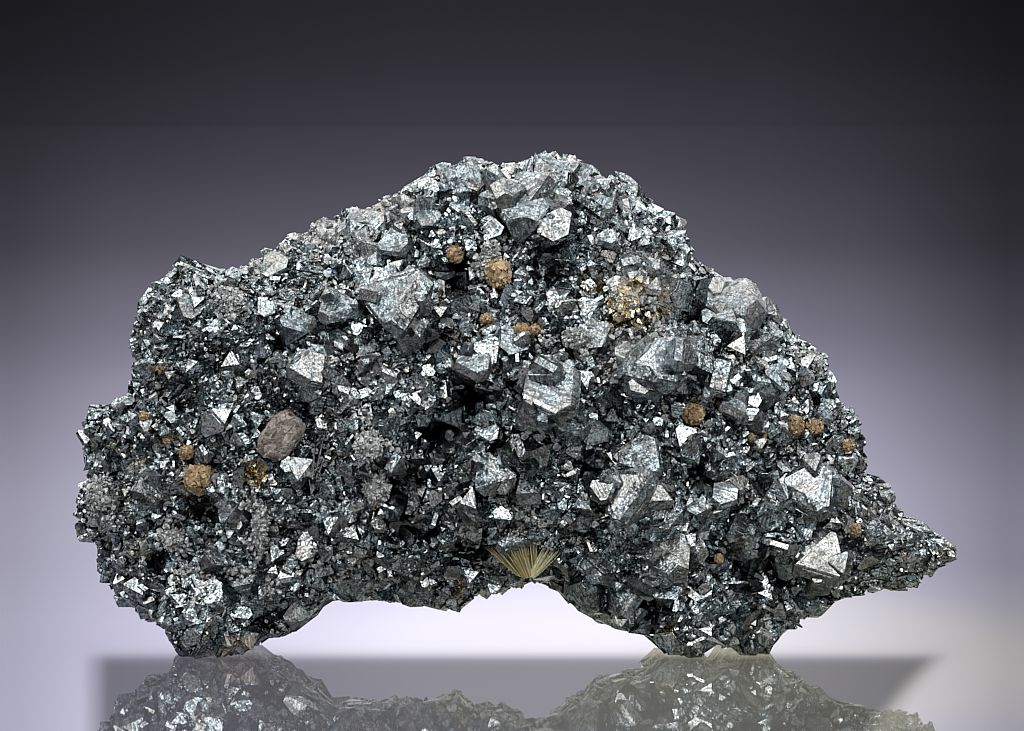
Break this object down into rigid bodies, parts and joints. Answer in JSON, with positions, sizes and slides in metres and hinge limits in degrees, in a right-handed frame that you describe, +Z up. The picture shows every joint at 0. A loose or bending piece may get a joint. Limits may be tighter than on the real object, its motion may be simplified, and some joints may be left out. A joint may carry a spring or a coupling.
{
  "type": "tennantite specimen",
  "caption": "Hand-sized plate of intergrown steel-grey tetrahedral crystals with small siderite balls and frosted quartz, arched between two natural feet.",
  "frame": {"origin": "on the ground under the middle of the specimen's box", "axes": "+X along the plate towards its thin tail, +Y from the crystal face to the broken back, +Z up"},
  "size_m": [0.1002, 0.0434, 0.0571],
  "materials": {
    "tennantite": "metallic steel-grey crystal faces, bright to near black, with dusty and gold-stained patches",
    "siderite": "finely crystalline tan to ochre balls, dull",
    "quartz": "frosted lilac-grey crystal groups",
    "brown_mineral": "matt brown-grey, finely pitted",
    "olive_mineral": "fibrous yellow-green, silky",
    "dark_sulphide": "bright dark needles"
  },
  "bodies": {
    "root": {"tennantite_mass": "tennantite", "siderite_ball_01": "siderite", "siderite_ball_02": "siderite", "siderite_ball_03": "siderite", "siderite_ball_04": "siderite", "siderite_ball_05": "siderite", "siderite_ball_06": "siderite", "siderite_ball_07": "siderite", "siderite_ball_08": "siderite", "siderite_ball_09": "siderite", "siderite_ball_10": "siderite", "siderite_ball_11": "siderite", "siderite_ball_12": "siderite", "siderite_ball_13": "siderite", "siderite_ball_14": "siderite", "siderite_ball_15": "siderite", "siderite_ball_16": "siderite", "siderite_ball_17": "siderite", "siderite_ball_18": "siderite", "siderite_ball_19": "siderite", "siderite_ball_20": "siderite", "quartz_group_01": "quartz", "quartz_group_02": "quartz", "quartz_group_03": "quartz", "quartz_group_04": "quartz", "quartz_group_05": "quartz", "quartz_group_06": "quartz", "quartz_group_07": "quartz", "quartz_group_08": "quartz", "quartz_group_09": "quartz", "quartz_group_10": "quartz", "brown_nodule": "brown_mineral", "olive_spray": "olive_mineral", "dark_needles": "dark_sulphide"}
  },
  "joints": []
}
